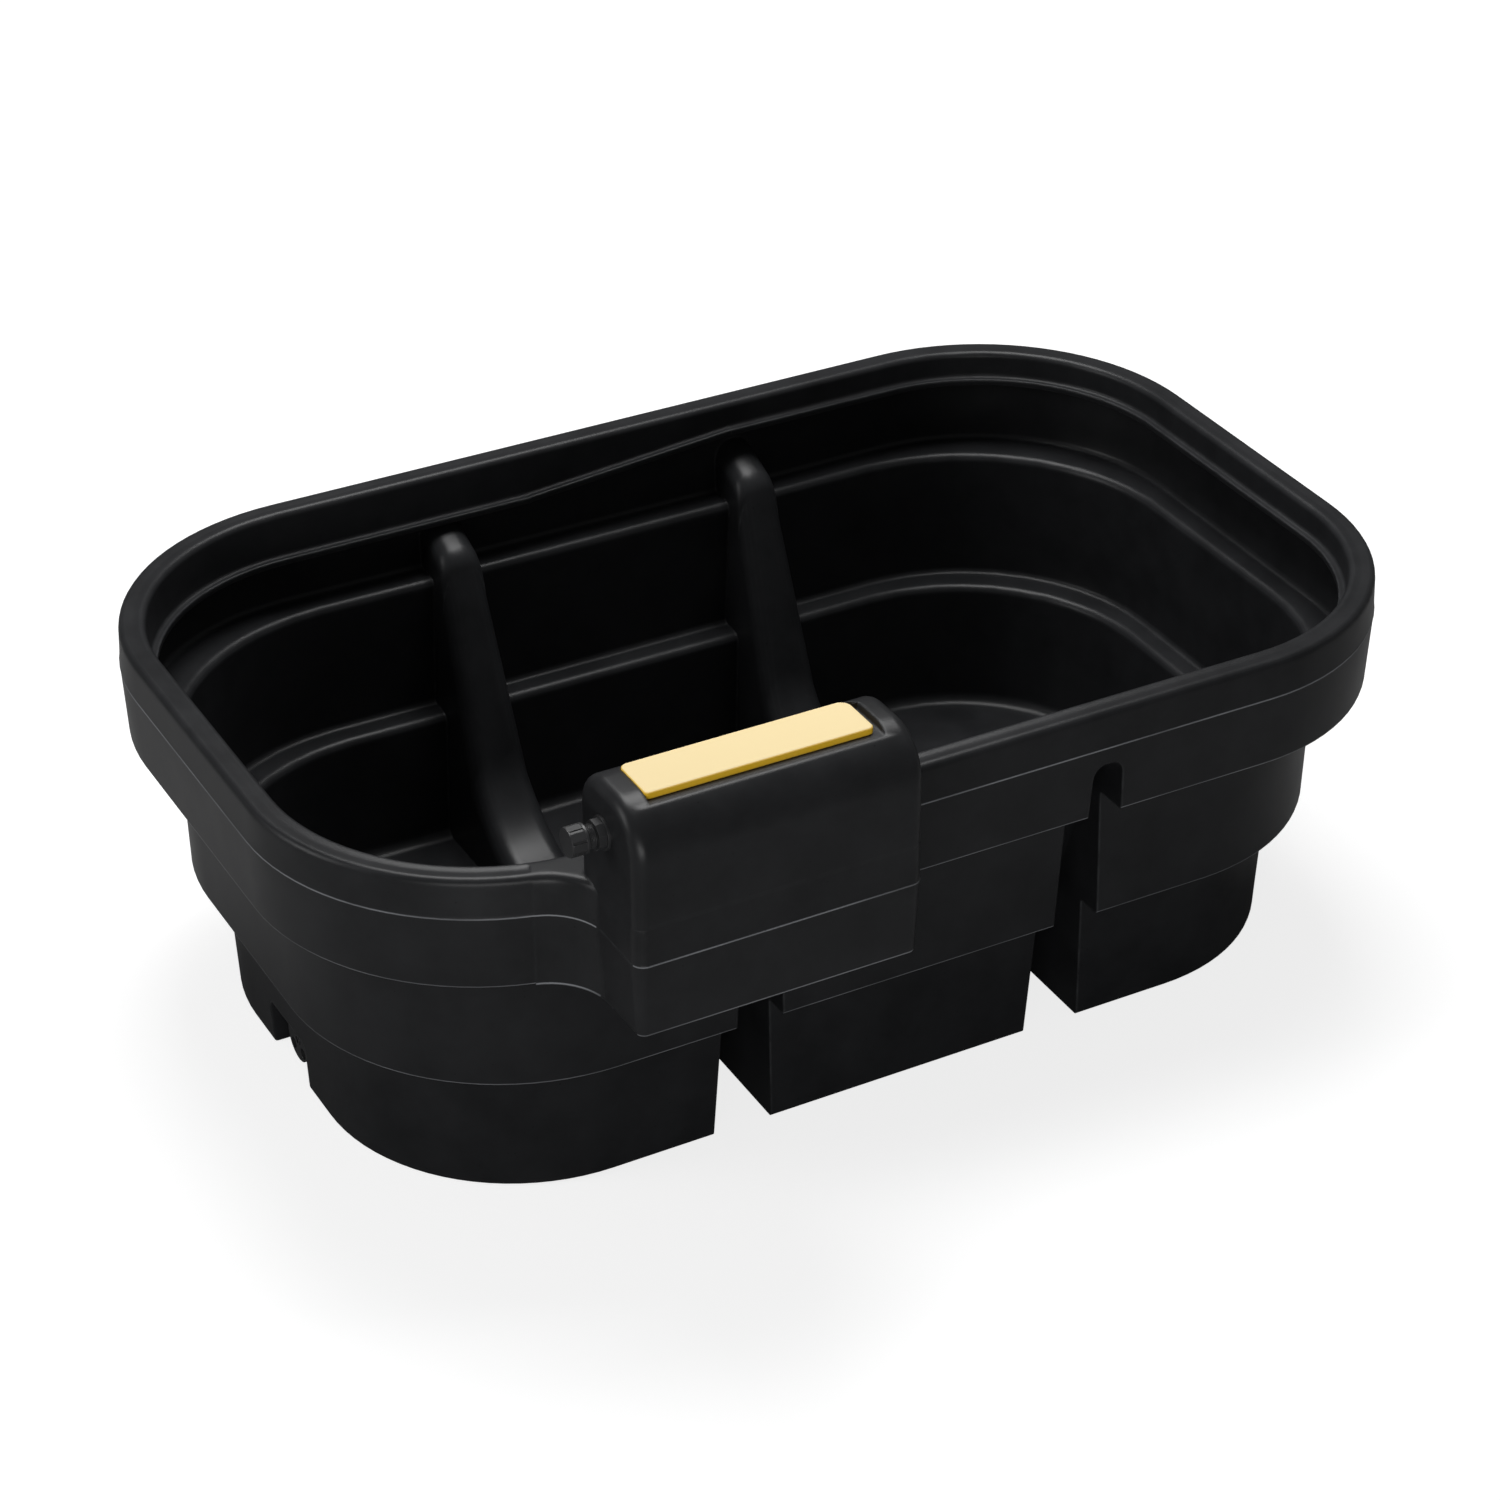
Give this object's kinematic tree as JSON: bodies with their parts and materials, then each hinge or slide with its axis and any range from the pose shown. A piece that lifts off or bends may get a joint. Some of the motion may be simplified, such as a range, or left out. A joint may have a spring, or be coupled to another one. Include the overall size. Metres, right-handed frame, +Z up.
{
  "type": "livestock water trough",
  "caption": "Stepped rotomoulded plastic water trough with fork tunnels, a float valve housing with a lift-off lid, a side inlet and a drain plug.",
  "frame": {"origin": "middle of the base on the ground, half way along the basin's length and width", "axes": "+X along the basin's length towards the end without the drain, +Y towards the side without the valve housing, +Z up"},
  "size_m": [1.5012, 1.0862, 0.6563],
  "materials": {
    "black_moulding": "satin rotomoulded polyethylene",
    "yellow_moulding": "satin moulded plastic",
    "black_fitting": "fine matt moulded plastic",
    "seal_rubber": "matt rubber",
    "seat_brass": "turned",
    "white_plastic": "natural moulded plastic",
    "stainless": "drawn stainless steel"
  },
  "bodies": {
    "trough": {"trough_shell": "black_moulding", "inlet_washer": "black_fitting", "inlet_lock_nut": "black_fitting", "inlet_inner_seal": "seal_rubber", "valve_body": "black_fitting", "valve_seat": "seat_brass", "lever_pin": "stainless", "drain_bush": "black_fitting", "drain_seal": "seal_rubber", "drain_lock_nut": "black_fitting"},
    "lid": {"service_lid": "yellow_moulding"},
    "cap": {"inlet_cap": "black_fitting", "inlet_cap_seal": "seal_rubber"},
    "piston": {"valve_piston": "white_plastic", "piston_washer": "seal_rubber"},
    "float_arm": {"float_lever": "white_plastic", "drop_rod": "stainless", "rod_clip": "stainless", "rod_wing_nut": "stainless", "float": "white_plastic"},
    "plug": {"drain_plug": "black_fitting", "drain_plug_ring": "seal_rubber"}
  },
  "joints": [
    {"name": "lid_lift", "type": "slide", "parent": "trough", "child": "lid", "axis": [0, 0, 1], "range_m": [0, 0.12]},
    {"name": "float_swing", "type": "hinge", "parent": "trough", "child": "float_arm", "pos_m": [-0.3997, -0.533, 0.583], "axis": [0, -1, 0], "range_deg": [0, 9]},
    {"name": "piston_slide", "type": "slide", "parent": "trough", "child": "piston", "axis": [-1, 0, 0], "range_m": [0, 0.0025]},
    {"name": "cap_off", "type": "slide", "parent": "trough", "child": "cap", "axis": [-1, 0, 0], "range_m": [0, 0.06]},
    {"name": "plug_out", "type": "slide", "parent": "trough", "child": "plug", "axis": [-1, 0, 0], "range_m": [0, 0.06]}
  ],
  "couplings": [
    {"joint": "piston_slide", "follows": "float_swing", "m_per_rad": 0.01485}
  ]
}
